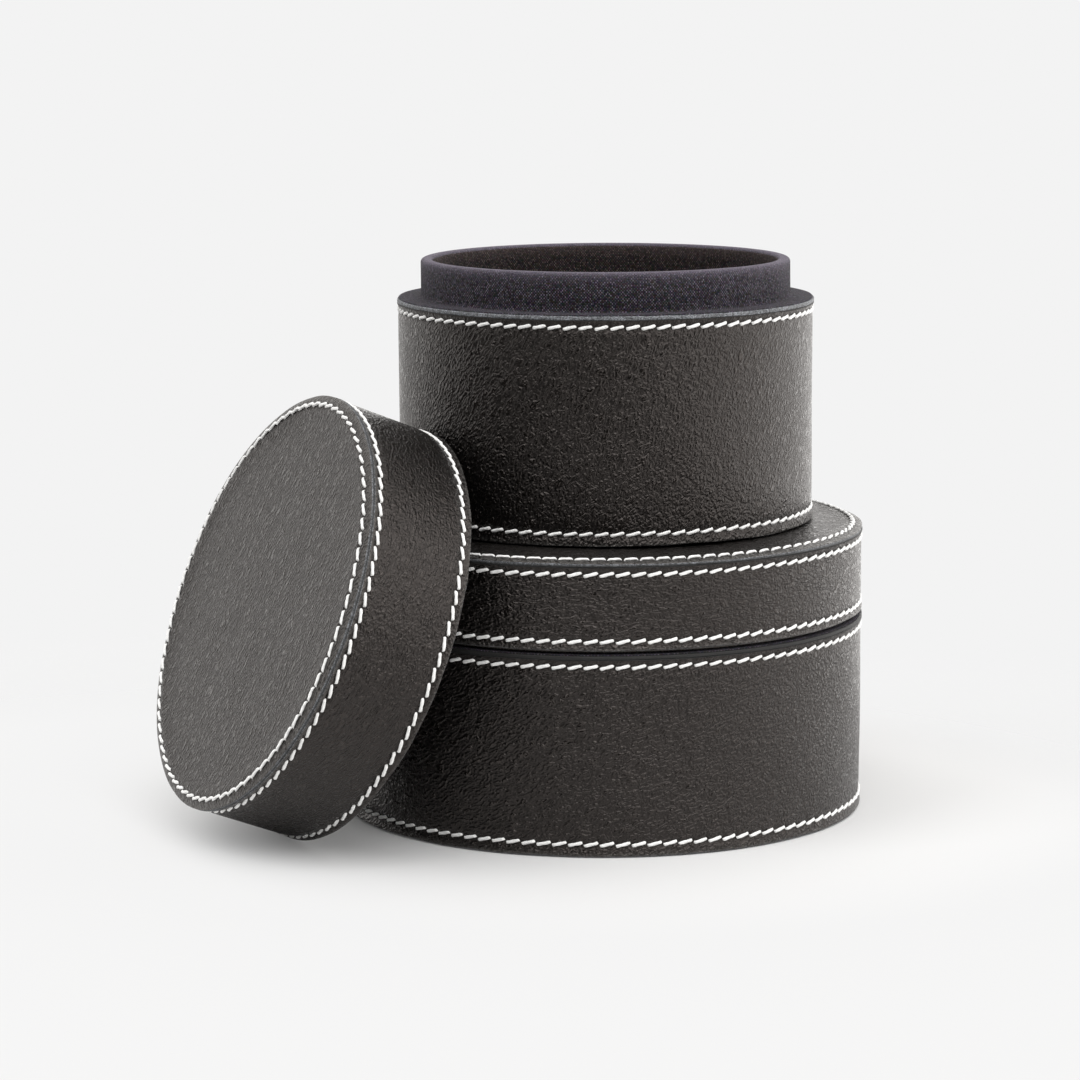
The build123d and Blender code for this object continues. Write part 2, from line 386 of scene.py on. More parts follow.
def face_outline(sizes):
    """Leather on a lid's face, from the middle of its top round its cut edge to the middle below."""
    low, high = sizes.lid_seam, sizes.lid_height
    edge = sizes.radius - EDGE_BEVEL
    flat = steps(0, edge - EDGE_ZONE, WALL_STEP) + steps(edge - EDGE_ZONE, edge, FINE_STEP)
    return ([(radius, high) for radius in flat]
            + round_corner(edge, high - EDGE_BEVEL, EDGE_BEVEL, 90, 0)
            + round_corner(sizes.radius - SEAM_ROUND, low + SEAM_ROUND, SEAM_ROUND, 0, -90) + [(0, low)])


def shoulder_outline(sizes):
    """Ring of leather on the shoulder: its cut edge outward and worn round, its inside at the collar."""
    low, high, edge = sizes.body_seam, sizes.shoulder_leather_top, sizes.radius - SEAM_ROUND
    worn = sizes.radius - SHOULDER_WORN, high - SHOULDER_WORN
    return ([(sizes.core_inside, low)] + round_corner(edge, low + SEAM_ROUND, SEAM_ROUND, -90, 0)
            + round_corner(*worn, SHOULDER_WORN, 0, 90) + [(sizes.core_inside, high)])


def disc_outline(radius, low, high):
    """A disc with a round edge, from the middle of its top to the middle of its underside."""
    edge_round = (high - low) / 2
    edge = radius - edge_round
    return ([(place, high) for place in steps(0, edge, 2 * WALL_STEP)]
            + round_corner(edge, low + edge_round, edge_round, 90, 0)[:-1]
            + round_corner(edge, low + edge_round, edge_round, 0, -90) + [(0, low)])


def collar_outline(sizes):
    """Canvas over the shoulder, up the collar, round its rim and down inside to the base."""
    outside, inside, rim, foot = sizes.collar_outside, sizes.collar_inside, COLLAR_RIM, COLLAR_FOOT
    low, high, shoulder = sizes.floor_board_top, sizes.collar_top, sizes.shoulder
    round_low, hem = high - rim, sizes.radius - EDGE_BEVEL
    outline = [(hem - CLOTH / 2, shoulder - CLOTH), (hem, shoulder - CLOTH / 2)]
    outline += [(radius, shoulder) for radius in steps(hem - CLOTH / 2, outside + foot, WALL_STEP / 2)]
    outline += round_corner(outside + foot, shoulder + foot, foot, -90, -180)
    outline += [(outside, height) for height in steps(shoulder + foot, round_low, WALL_STEP)[1:]]
    outline += round_corner(outside - rim, round_low, rim, 0, 90)
    outline += round_corner(inside + rim, round_low, rim, 90, 180)
    outline += [(inside, height) for height in steps(round_low, low, 2 * WALL_STEP)[1:]]
    return outline + [
        (inside, low), (inside + CLOTH, low), (inside + CLOTH, high - RIM_FOLD),
        (outside - CLOTH, high - RIM_FOLD), (outside - CLOTH, shoulder - CLOTH),
    ]


def lid_lining_outline(sizes):
    """Canvas inside a lid's wall, turned out under the board's edge as far as the leather."""
    inside, outside, edge = sizes.lining_inside, sizes.lining_outside, sizes.board_outside
    return ([(edge - CLOTH / 2, CLOTH), (edge, CLOTH / 2)]
            + [(radius, 0) for radius in steps(edge - CLOTH / 2, inside + CLOTH, WALL_STEP / 2)]
            + round_corner(inside + CLOTH, CLOTH, CLOTH, -90, -180)
            + [(inside, height) for height in steps(CLOTH, sizes.lid_ceiling, WALL_STEP)[1:]]
            + [(inside, sizes.lid_ceiling), (outside, sizes.lid_ceiling), (outside, CLOTH)])


# Shapes bend an outline as it is turned: they take angle, radius and height and return radius, height
# and wear with painted light and shade, from -1 in a needle hole's dent, which is painted shade, and 0 on
# a plain surface to 1 on a rubbed edge; on a shoulder's cut edge and a collar's rim it also paints light

def ripples(seed, size, most_turns, shortest):
    """Smooth small unevenness of a surface as a function of the angle and a distance across."""
    draw = np.random.default_rng(seed)
    waves = [(draw.integers(1, most_turns + 1), draw.uniform(-1, 1) * FULL_TURN / shortest,
              draw.uniform(0, FULL_TURN), draw.uniform(LEAST_RIPPLE, 1)) for _ in range(RIPPLES)]
    total = math.sqrt(sum(strength ** 2 for *_, strength in waves) / 2)

    def height(angle, across):
        return size / total * sum(strength * np.cos(turns * angle + along * across + phase)
                                  for turns, along, phase, strength in waves)
    return height


def smooth(values, low, high):
    """Smooth change from 0 to 1 while the values go from low to high."""
    share = np.clip((values - low) / (high - low), 0, 1)
    return share * share * (3 - 2 * share)


def row_press(angle, across, row, count, reach):
    """How deep a row of stitches round a circle of this reach presses the leather, holes included."""
    pitch = FULL_TURN * reach / count
    from_hole = ((angle - BACK) / FULL_TURN * count) % 1
    from_hole = np.minimum(from_hole, 1 - from_hole) * pitch
    off_row = across - row
    valley = STITCH_DEPTH * np.exp(-(off_row / VALLEY_WIDTH) ** 2)
    return valley + HOLE_DEPTH * np.exp(-(from_hole / HOLE_WIDTH) ** 2 - (off_row / HOLE_LENGTH) ** 2)


def press_shade(press):
    """How much painted shade pressed leather gets, up to 1 in a needle hole."""
    return (press / (STITCH_DEPTH + HOLE_DEPTH)) ** 2


def side_shape(sizes, low, seam, rows, count, seed, worn_seam):
    """Leather round a wall, pressed in along its rows with painted shade in the dents, wavering at its
    hem, worn or dark at its seam.
    """
    swell = ripples(seed, *SIDE_SWELL)
    waver = ripples(seed + 1, *EDGE_WAVER)

    def shape(angle, radius, height):
        skin = np.clip((radius - sizes.leather_inside) / LEATHER, 0, 1)
        press = sum(row_press(angle, height, row, count, sizes.wall) for row in rows)
        near_edge = np.exp(-(height - low) / STITCH_INSET)
        wear_light_and_shade = np.exp(-(height - low) / WEAR_REACH)
        if worn_seam:
            wear_light_and_shade = wear_light_and_shade + np.exp(-(seam - height) / FACE_WEAR_REACH)
        else:
            wear_light_and_shade = wear_light_and_shade - np.exp(-(seam - height) / SEAM_DARK)
        new_radius = radius + skin * (swell(angle, height) - press)
        # Pressed leather gets painted shade: the wear value goes below zero in the dents
        return new_radius, height + near_edge * waver(angle, 0), skin * (wear_light_and_shade - press_shade(press))
    return shape


def border_lift(sizes, radius):
    """How far a lid's face stands up along its row and falls towards its cut edge."""
    row = sizes.radius - FACE_INSET
    return (FACE_RISE * smooth(radius, sizes.radius - FACE_BORDER, row)
            - (FACE_RISE + FACE_FALL) * smooth(radius, row, sizes.radius))


def face_shape(sizes, count, seed):
    """Leather on a lid's face, pressed in along its row with painted shade in the dents, with a slightly
    wavering edge.
    """
    row = sizes.radius - FACE_INSET
    swell = ripples(seed, *FACE_SWELL)
    waver = ripples(seed + 1, *EDGE_WAVER)

    def shape(angle, radius, height):
        skin = np.clip((height - sizes.lid_seam) / LEATHER, 0, 1)
        off_middle = np.clip(radius / (FACE_CALM_SHARE * sizes.radius), 0, 1)
        press = row_press(angle, radius, row, count, row)
        lift = off_middle * swell(angle, radius) + border_lift(sizes, radius) - press
        at_edge = np.exp(-(sizes.radius - radius) / EDGE_BEVEL)
        # Worn towards the edge, with painted shade in the pressed dents
        wear_light_and_shade = np.exp(-(sizes.radius - radius) / FACE_WEAR_REACH) - press_shade(press)
        return radius + at_edge * waver(angle, 0), height + skin * lift, skin * wear_light_and_shade
    return shape


def ring_shape(sizes, seed, most_painted_light):
    """Ring of leather whose outward cut edge wavers a little and is painted pale as light on it, as far as
    its share says.
    """
    waver = ripples(seed, *RING_WAVER)

    def shape(angle, radius, height):
        outward = np.clip((radius - sizes.board_outside) / (sizes.radius - sizes.board_outside), 0, 1)
        # Paler outward as painted light, as far as the shoulder's share says
        return radius + outward * waver(angle, 0), height, outward * most_painted_light
    return shape


def cloth_shape(seed, rim=None):
    """Glued canvas, a little uneven, and rubbed on its rim if it has one, which also paints sheen there.
    """
    swell = ripples(seed, *CANVAS_SWELL)

    def shape(angle, radius, height):
        off_middle = np.clip(radius / CANVAS_CALM, 0, 1)
        # Rubbed towards the rim, which also stands for painted sheen on its crest
        wear_light_and_shade = np.zeros_like(height) if rim is None else np.exp(-(rim - height) / RIM_WEAR_AND_SHEEN_REACH)
        return radius + off_middle * swell(angle, height), height, wear_light_and_shade
    return shape


def plain_shape(angle, radius, height):
    """A turned outline as it is."""
    return radius, height, np.zeros_like(height)


# Meshes are built from groups of faces with as many corners each. A group holds the points of its
# faces' corners, their grain coordinates, and which of the materials each face takes

def build_mesh(name, points, groups, materials):
    """A smooth mesh from its points and its groups of faces."""
    mesh = bpy.data.meshes.new(name)
    mesh.vertices.add(len(points))
    mesh.vertices.foreach_set("co", np.asarray(points, np.float32).ravel())
    corners = np.concatenate([group[0].ravel() for group in groups])
    sides = np.concatenate([np.full(len(group[0]), group[0].shape[1]) for group in groups])
    mesh.loops.add(len(corners))
    mesh.loops.foreach_set("vertex_index", corners.astype(np.int32))
    mesh.polygons.add(len(sides))
    mesh.polygons.foreach_set("loop_start", (np.cumsum(sides) - sides).astype(np.int32))
    mesh.update(calc_edges=True)
    grain = np.concatenate([group[1].reshape(-1, 2) for group in groups])
    mesh.uv_layers.new(name="grain").data.foreach_set("uv", grain.astype(np.float32).ravel())
    for material in materials:
        mesh.materials.append(material)
    finish = np.concatenate([group[2] for group in groups])
    mesh.polygons.foreach_set("material_index", finish.astype(np.int32))
    mesh.polygons.foreach_set("use_smooth", np.ones(len(sides), bool))
    mesh.update()
    return mesh


def anticlockwise(outline):
    """An outline's points in the order that turns its faces outward."""
    loop = np.array(outline, float)
    following = np.roll(loop, -1, axis=0)
    area = np.sum(loop[:, 0] * following[:, 1] - following[:, 0] * loop[:, 1])
    return loop[::-1] if area < 0 else loop


def face_corners(grid):
    """The four corners of each face of a grid, from one place and one turn to the next."""
    return grid[:-1, :-1], grid[1:, :-1], grid[1:, 1:], grid[:-1, 1:]


def grain_grid(loop, turns, points, flat, lie):
    """Grain coordinates round and along an outline, or flat across a disc, turned by the angle of lie."""
    if flat:
        grain = np.concatenate([points[:, :, :2], points[:, :1, :2]], axis=1)
    else:
        lengths = np.linalg.norm(np.roll(loop, -1, axis=0) - loop, axis=1)
        along = np.concatenate([[0], np.cumsum(lengths)])
        around = turns * loop[:, 0].max()
        grain = np.stack(np.broadcast_arrays(around[:, None], along[None, :]), axis=-1)
    return grain @ np.array([[math.cos(lie), math.sin(lie)], [-math.sin(lie), math.cos(lie)]])


def only_used(groups):
    """The points that groups of faces use, and the groups with their corners counted among those."""
    used, corners = np.unique(np.concatenate([group[0].ravel() for group in groups]), return_inverse=True)
    counted, start = [], 0
    for faces, grain, finish in groups:
        counted.append((corners[start:start + faces.size].reshape(faces.shape), grain, finish))
        start += faces.size
    return used, counted


def turned_mesh(name, outline, columns, shape, materials, raw=None, gap=0.0, flat_grain=False, lie=0.0):
    """Turn a closed outline about Z, whole or open by a gap at the back.

    raw tells from radius and height where a face takes the second material.
    """
    loop = anticlockwise(outline)
    count = len(loop)
    turns = BACK + FULL_TURN * np.arange(columns + 1) / columns
    turns[0] += gap / 2
    turns[-1] -= gap / 2
    angle, radius, height = np.broadcast_arrays(turns[:, None], *loop.T)
    radius, height, wear_light_and_shade = shape(angle, radius, height)
    on_axis = loop[:, 0] == 0
    radius = np.where(on_axis, 0, np.minimum(radius, loop[:, 0].max() - CLEARANCE))
    height = np.where(on_axis, height[0], height)
    points = np.stack([radius * np.cos(angle), radius * np.sin(angle), height], axis=-1)
    index = np.arange((columns + 1) * count).reshape(columns + 1, count)
    index = np.where(on_axis, index[0], index)
    if not gap:
        index[-1] = index[0]

    quads = np.stack(face_corners(np.concatenate([index, index[:, :1]], axis=1)), axis=-1)
    grains = np.stack(face_corners(grain_grid(loop, turns, points, flat_grain, lie)), axis=-2)
    middles = (loop + np.roll(loop, -1, axis=0)) / 2
    finish = np.broadcast_to([raw is not None and raw(*place) for place in middles], quads.shape[:2])
    next_on_axis = np.roll(on_axis, -1)
    whole = ~on_axis & ~next_on_axis
    from_axis, to_axis = on_axis & ~next_on_axis, ~on_axis & next_on_axis
    groups = []
    for chosen, kept in ((whole, (0, 1, 2, 3)), (from_axis, (0, 2, 3)), (to_axis, (0, 1, 2))):
        if chosen.any():
            groups.append((quads[:, chosen][:, :, kept].reshape(-1, len(kept)),
                           grains[:, chosen][:, :, kept].reshape(-1, len(kept), 2),
                           finish[:, chosen].ravel()))
    if gap:
        for cap, places in ((index[0][::-1], loop[::-1]), (index[-1], loop)):
            groups.append((cap[None, :], places[None, :, :], np.ones(1, bool)))

    used, groups = only_used(groups)
    mesh = build_mesh(name, points.reshape(-1, 3)[used], groups, materials)
    worn = mesh.attributes.new("wear_light_and_shade", "FLOAT", "POINT")
    worn.data.foreach_set("value", np.asarray(wear_light_and_shade, np.float32).ravel()[used])
    mesh.set_sharp_from_angle(angle=SHARP_ANGLE)
    return mesh


def stitch_mesh(name, count, reach, surface, material, seed):
    """All stitches of one row, each a short slanted length of two-strand thread.

    surface gives x, y and z from the angle of a stitch's middle and the distances along the row,
    across it and out of the leather.
    """
    draw = np.random.default_rng(seed)
    half_length = STITCH_SHARE * FULL_TURN * reach / count / 2
    walk = np.sin(np.linspace(-1, 1, THREAD_RINGS) * math.pi / 2)
    at_ends = np.abs(walk) ** DIVE_POWER
    thick = (1 - THREAD_TAPER * at_ends)[:, None]
    round_thread = FULL_TURN * np.arange(THREAD_SIDES) / THREAD_SIDES
    twist = 2 * (round_thread[None, :] - STRAND_TURNS * math.pi * walk[:, None])
    rings = []
    for number in range(count):
        length = half_length * draw.uniform(*LENGTH_SHARES)
        climb = STITCH_CLIMB / 2 * draw.uniform(*CLIMB_SHARES)
        stands = THREAD_STANDS * draw.uniform(*STAND_SHARES)
        lobes = 1 + STRAND_SHARE * np.cos(twist + draw.uniform(0, FULL_TURN))
        stray_across = draw.normal(0, STRAY_ACROSS)
        stray_along = draw.normal(0, STRAY_ALONG)
        along, across = (walk * length)[:, None], (walk * climb)[:, None]
        out = (stands - (stands + THREAD_DIVES) * at_ends)[:, None]
        slope = math.hypot(length, climb)
        wide = THREAD_HALF_WIDTH * thick * lobes * np.cos(round_thread)
        tall = THREAD_HALF_HEIGHT * thick * lobes * np.sin(round_thread)
        centre = BACK + FULL_TURN * (number + 0.5) / count
        places = surface(centre, along - wide * climb / slope + stray_along,
                         across + wide * length / slope + stray_across, out + tall)
        rings.append(np.stack(places, axis=-1).reshape(-1, 3))

    stitch_size = THREAD_RINGS * THREAD_SIDES
    ring, side = np.meshgrid(np.arange(THREAD_RINGS - 1), np.arange(THREAD_SIDES), indexing="ij")
    corners = [(ring + up, side + right) for up, right in ((0, 0), (0, 1), (1, 1), (1, 0))]
    quads = np.stack([up * THREAD_SIDES + right % THREAD_SIDES for up, right in corners], axis=-1)
    grain = np.stack([np.stack([right * THREAD_HALF_WIDTH / 2, walk[up] * half_length], axis=-1)
                      for up, right in corners], axis=-2)
    first_cap = np.arange(THREAD_SIDES)
    caps = np.stack([first_cap[::-1], stitch_size - THREAD_SIDES + first_cap])
    starts = (np.arange(count) * stitch_size)[:, None, None]
    faces = (quads.reshape(-1, 4) + starts).reshape(-1, 4)
    cap_faces = (caps + starts).reshape(-1, THREAD_SIDES)
    groups = [(faces, np.tile(grain.reshape(-1, 4, 2), (count, 1, 1)), np.zeros(len(faces), int)),
              (cap_faces, np.zeros((*cap_faces.shape, 2)), np.zeros(len(cap_faces), int))]
    return build_mesh(name, np.concatenate(rings), groups, [material])


def side_surface(sizes, row):
    """Where a stitch of a side row lies: round the wall, up it and out of it."""
    base = sizes.wall - STITCH_DEPTH

    def surface(centre, along, across, out):
        angle, radius = centre + along / sizes.wall, base + out
        return radius * np.cos(angle), radius * np.sin(angle), row + across
    return surface


def face_surface(sizes, row):
    """Where a stitch of a face row lies: round the face, outward across it and up out of it."""
    base = sizes.lid_height + FACE_RISE - STITCH_DEPTH

    def surface(centre, along, across, out):
        angle, radius = centre - along / row, row + across
        return radius * np.cos(angle), radius * np.sin(angle), base + out
    return surface


# Materials and light

def colour(tone, strength=1.0):
    """A tone times a strength, with full cover."""
    return (*(strength * part for part in tone), 1.0)


class Nodes:
    """Short calls for the nodes of a material or of the world."""

    def __init__(self, tree):
        self.tree = tree

    def node(self, kind, inputs, output=0, **settings):
        """Add a node, set or link its inputs, and return one of its outputs."""
        node = self.tree.nodes.new("ShaderNode" + kind)
        for name, value in settings.items():
            setattr(node, name, value)
        for key, value in inputs.items():
            if isinstance(value, bpy.types.NodeSocket):
                self.tree.links.new(value, node.inputs[key])
            else:
                node.inputs[key].default_value = value
        return node.outputs[output]

    def math(self, operation, first, second=0.0):
        """One calculation with two values."""
        return self.node("Math", {0: first, 1: second}, operation=operation)

    def vector_math(self, operation, first, second=(0, 0, 0), output=0):
        """One calculation with two vectors."""
        return self.node("VectorMath", {0: first, 1: second}, output, operation=operation)

    def ramp(self, value, low, high, start=0.0, end=1.0):
        """Smooth change from start to end while a value goes from low to high."""
        return self.node("MapRange", {"Value": value, "From Min": low, "From Max": high, "To Min": start,
                                      "To Max": end}, interpolation_type="SMOOTHSTEP")

    def mix(self, share, first, second):
        """Blend of two colours."""
        return self.node("Mix", {0: share, 6: first, 7: second}, 2, data_type="RGBA")

    def toned(self, value, ramp, first, second):
        """Blend of two tones that follows a value along a ramp."""
        return self.mix(self.ramp(value, *ramp), colour(first), colour(second))

    def stained(self, base, value, ramp, tone):
        """A colour with a tone laid over it as far as a value's ramp says."""
        return self.mix(self.ramp(value, *ramp), base, colour(tone))

    def noise(self, vector, scale, detail=2.0, roughness=0.5, output=0):
        """Noise of about one feature to one over scale of the vector's units."""
        return self.node("TexNoise", {"Vector": vector, "Scale": scale, "Detail": detail,
                                      "Roughness": roughness}, output)

    def fibres(self, vector, stretch, *noise):
        """Noise stretched differently each way."""
        return self.noise(self.stretched(vector, stretch), *noise)

    def folds(self, vector, stretch, scale, width):
        """Lines that wander like the folds of a skin: 0 in each line and 1 beside it."""
        off_line = self.math("SUBTRACT", self.fibres(vector, stretch, scale, 1.0), 0.5)
        return self.ramp(self.math("ABSOLUTE", off_line), 0.0, width)

    def total(self, values, shares):
        """Sum of some values, each times its share."""
        parts = [self.math("MULTIPLY", value, share) for value, share in zip(values, shares)]
        result = parts[0]
        for part in parts[1:]:
            result = self.math("ADD", result, part)
        return result

    def scaled(self, vector, factor):
        """A vector scaled the same each way."""
        return self.node("VectorMath", {0: vector, "Scale": factor}, operation="SCALE")

    def stretched(self, vector, factors):
        """A vector scaled differently each way."""
        return self.vector_math("MULTIPLY", vector, factors)

    def bent(self, vector, scale, amount):
        """A vector pushed about by noise."""
        push = self.vector_math("SUBTRACT", self.noise(vector, scale, output=1), (0.5, 0.5, 0.5))
        return self.vector_math("ADD", vector, self.scaled(push, amount))


class Finish(Nodes):
    """A material in the making, and its shader."""

    def __init__(self, name, **shader_values):
        self.material = bpy.data.materials.new(name)
        self.material.use_nodes = True
        super().__init__(self.material.node_tree)
        self.shader = self.tree.nodes["Principled BSDF"]
        for socket, value in shader_values.items():
            self.shader.inputs[socket.replace("_", " ")].default_value = value

    def grain_vector(self):
        """Grain coordinates in millimetres."""
        return self.scaled(self.node("UVMap", {}, uv_map="grain"), 1 / MM)

    def solid_vector(self):
        """Place in the piece in millimetres."""
        return self.scaled(self.node("TexCoord", {}, output=3), 1 / MM)

    def wear_light_and_shade(self):
        """How worn the surface is, with its painted shade in dents and painted light on a shoulder's edge
        and a rim.
        """
        return self.node("Attribute", {}, output=2, attribute_name="wear_light_and_shade")

    def link(self, socket, value):
        """Feed one socket of the shader."""
        self.tree.links.new(value, self.shader.inputs[socket])

    def relief(self, height, depth):
        """Bump of a height from 0 to 1 that stands this deep."""
        self.link("Normal", self.node("Bump", {"Height": height, "Distance": depth}))


def leather_material():
    """Black pebbled leather: cells and folds stand out, creases get painted shade and ridges a painted
    highlight, edges are rubbed grey.
    """
    finish = Finish("pebbled_leather", IOR=1.53, Specular_Tint=colour((1.0, 0.89, 0.84)))
    vector = finish.grain_vector()
    hide = vector
    for bend in HIDE_BENDS:
        hide = finish.bent(hide, *bend)
    stretched = finish.stretched(hide, PEBBLE_STRETCH)
    cells = finish.node("TexVoronoi", {"Vector": stretched, "Scale": PEBBLE_SCALE},
                        voronoi_dimensions="2D", feature="DISTANCE_TO_EDGE")
    height = finish.total((finish.ramp(cells, *PEBBLE_RAMP), finish.folds(hide, *FOLDS),
                           finish.folds(hide, *CROSS_FOLDS), finish.fibres(hide, *WAVES)), HIDE_SHARES)
    finish.relief(height, LEATHER_RELIEF)
    wear_light_and_shade = finish.wear_light_and_shade()
    rubbed = finish.math("MULTIPLY", finish.ramp(wear_light_and_shade, 0.0, 1.0),
                         finish.ramp(finish.noise(vector, *RUB_NOISE), *RUB_RAMP))
    base = finish.toned(finish.noise(vector, *PATCH_NOISE), *PATCH_TONES)
    # Painted shade in the creases
    base = finish.stained(base, height, *PAINTED_CREASE_SHADE)
    # Painted highlight on the ridges
    base = finish.stained(base, height, *PAINTED_RIDGE_HIGHLIGHT)
    base = finish.mix(finish.math("MULTIPLY", rubbed, RUB_SHARE), base, colour(RUBBED_GREY))
    # Painted shade in the dents round the needle holes, and darker along the seams
    base = finish.stained(base, wear_light_and_shade, *PAINTED_DENT_SHADE)
    finish.link("Base Color", base)
    rough = finish.math("ADD", finish.ramp(height, *ROUGH_RAMP), finish.ramp(wear_light_and_shade, *DENT_ROUGH_RAMP))
    finish.link("Roughness", rough)
    return finish.material


def raw_edge_material():
    """Cut edge of dyed leather, black, or mottled grey where worn and where it is painted with light, with
    darker specks.
    """
    finish = Finish("raw_leather_edge", Roughness=0.6, IOR=1.45)
    vector = finish.solid_vector()
    fibres = finish.fibres(vector, *EDGE_FIBRES)
    pale = finish.toned(finish.noise(vector, *MOTTLE_NOISE), *MOTTLE_TONES)
    # Mottled grey where worn, and on the small box's shoulder edge as painted light
    base = finish.mix(finish.ramp(finish.wear_light_and_shade(), 0.0, 1.0), colour(DYED_BLACK), pale)
    base = finish.stained(base, fibres, *SPECK_STAIN)
    finish.link("Base Color", base)
    finish.relief(fibres, EDGE_RELIEF)
    return finish.material


def canvas_material(name, dark, light, sheen):
    """Plain-weave canvas: pale heathered yarns that pass over dark ones with painted shade between them,
    paler where rubbed and where its rim gets painted sheen.
    """
    finish = Finish(name, Roughness=0.85, IOR=1.28, Sheen_Weight=sheen, Sheen_Roughness=0.45,
                    Sheen_Tint=colour(CANVAS_SHEEN))
    yarns = finish.scaled(finish.bent(finish.grain_vector(), *CANVAS_BEND), 1 / YARN_PITCH)
    parts = finish.node("SeparateXYZ", {"Vector": yarns}).node.outputs
    across, along = [finish.math("ABSOLUTE", finish.math("SINE", finish.math("MULTIPLY", part, math.pi)))
                     for part in parts[:2]]
    column, row = [finish.math("FLOOR", part) for part in parts[:2]]
    crossing = finish.vector_math("FLOOR", yarns)
    chance = finish.node("TexWhiteNoise", {"Vector": crossing}, noise_dimensions="2D")
    turn = finish.math("FLOORED_MODULO", finish.math("ADD", column, row), 2.0)
    lot = finish.math("MULTIPLY", chance, CHANCE_SHARE)
    over = finish.math("LESS_THAN", finish.math("ADD", turn, lot), OVER_LIMIT)
    under = finish.math("SUBTRACT", 1.0, over)
    yarn_over = finish.math("MULTIPLY", across, finish.math("POWER", along, YARN_POWER))
    yarn_under = finish.math("MULTIPLY", along, UNDER_HEIGHT)
    height = finish.math("ADD", finish.math("MULTIPLY", yarn_over, over),
                         finish.math("MULTIPLY", yarn_under, under))
    tints = finish.node("TexWhiteNoise", {"Vector": finish.stretched(crossing, TINT_STRETCH)}, 1,
                        noise_dimensions="2D")
    heather = finish.total((chance, finish.fibres(yarns, *SLUBS)), HEATHER_SHARES)
    fuzz = finish.noise(yarns, *FUZZ_NOISE)
    pale = finish.mix(finish.ramp(heather, *HEATHER_RAMP),
                      *[colour(light, strength) for strength in HEATHER_STRENGTHS])
    base = finish.mix(over, colour(dark), pale)
    base = finish.mix(TINT_SHARE, base, finish.stretched(tints, [TINT_STRENGTH * part for part in light]))
    # Painted shade between the yarns
    base = finish.stained(base, height, *PAINTED_YARN_GAP_SHADE)
    # Paler on the rim: rubbed, and painted sheen on its crest
    rubbed = finish.math("MULTIPLY", finish.wear_light_and_shade(), finish.ramp(fuzz, *CANVAS_RUB_AND_SHEEN_RAMP))
    base = finish.mix(rubbed, base, colour(light, CANVAS_RUB_AND_SHEEN_STRENGTH))
    finish.link("Base Color", base)
    finish.relief(finish.total((height, fuzz), WEAVE_SHARES), CANVAS_RELIEF)
    return finish.material


def thread_material():
    """White waxed two-strand thread with fine fibres and a trace of grey in its twist."""
    finish = Finish("white_thread", Roughness=0.6, IOR=1.4, Sheen_Weight=0.06)
    fibres = finish.fibres(finish.grain_vector(), *THREAD_FIBRES)
    soil = finish.noise(finish.solid_vector(), *SOIL_NOISE)
    base = finish.stained(finish.toned(fibres, *THREAD_TONES), soil, *SOIL_STAIN)
    finish.link("Base Color", base)
    finish.relief(fibres, THREAD_RELIEF)
    return finish.material


def board_material():
    """Plain grey board, flecked with darker and paler fibres."""
    finish = Finish("grey_board", Roughness=0.88, IOR=1.45)
    vector = finish.solid_vector()
    flecks = finish.fibres(vector, *FLECKS)
    base = finish.toned(flecks, *FLECK_TONES)
    base = finish.stained(base, finish.fibres(vector, *LAYERS), *LAYER_STAIN)
    finish.link("Base Color", base)
    finish.relief(flecks, BOARD_RELIEF)
    return finish.material


# The boxes

class Part:
    """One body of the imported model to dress: a box without its lid, or a lid."""

    def __init__(self, which, kind, sizes, place, finishes):
        self.which, self.body = which, which + kind
        self.sizes, self.place, self.finishes = sizes, place, finishes
        self.seed = SEEDS[self.body]

    def add(self, name, mesh, slot):
        """Put a mesh in its place, riding on the body; the slot is not used."""
        mesh.transform(self.place)
        piece = bpy.data.objects.new(name, mesh)
        bpy.context.scene.collection.objects.link(piece)
        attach(piece, self.body)
        return piece

    def cover(self, name, node, slot, finishes, outline, columns, shape, **turning):
        """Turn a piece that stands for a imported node."""
        name = self.which + name
        materials = [self.finishes[finish] for finish in finishes]
        mesh = turned_mesh(name, outline, columns, shape, materials, **turning)
        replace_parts(self.add(name, mesh, slot), self.which + node)

    def cover_side(self, name, node, low, seam, rows, worn_seam=False):
        """Leather round the wall, raw at its edges and behind, open at its butt joint."""
        sizes, count = self.sizes, SIDE_STITCHES[self.which]

        def raw(radius, height):
            return radius < sizes.wall - LEATHER / 2 or height < low + RAW_HEM or height > seam - RAW_SEAM

        self.cover(name, node, "black_leather", ("leather", "edge"),
                   side_outline(sizes, low, seam, rows["low"]), count * COLUMNS_PER_STITCH,
                   side_shape(sizes, low, seam, rows.values(), count, self.seed, worn_seam),
                   raw=raw, gap=BUTT_JOINT / sizes.wall, lie=GRAIN_LIE[self.which + name])

    def cover_disc(self, name, node, slot, finish, *disc):
        """A plain disc of leather or canvas."""
        self.cover(name, node, slot, (finish,), disc_outline(*disc), CLOTH_COLUMNS, plain_shape,
                   flat_grain=True)

    def sew(self, name, count, reach, surface, seed):
        """One row of stitches."""
        name = self.which + name
        mesh = stitch_mesh(name, count, reach, surface, self.finishes["thread"], seed)
        self.add(name, mesh, "white_thread")

    def sew_side(self, name, rows):
        """The rows of stitches round the wall."""
        for number, (level, row) in enumerate(rows.items()):
            self.sew(name + level, SIDE_STITCHES[self.which], self.sizes.wall,
                     side_surface(self.sizes, row), self.seed + SIDE_THREAD_SEED + number)

    def paint_boards(self, *nodes):
        """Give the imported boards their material."""
        for node in nodes:
            for slot in frame["nodes"][self.which + node].material_slots:
                slot.material = self.finishes["board"]


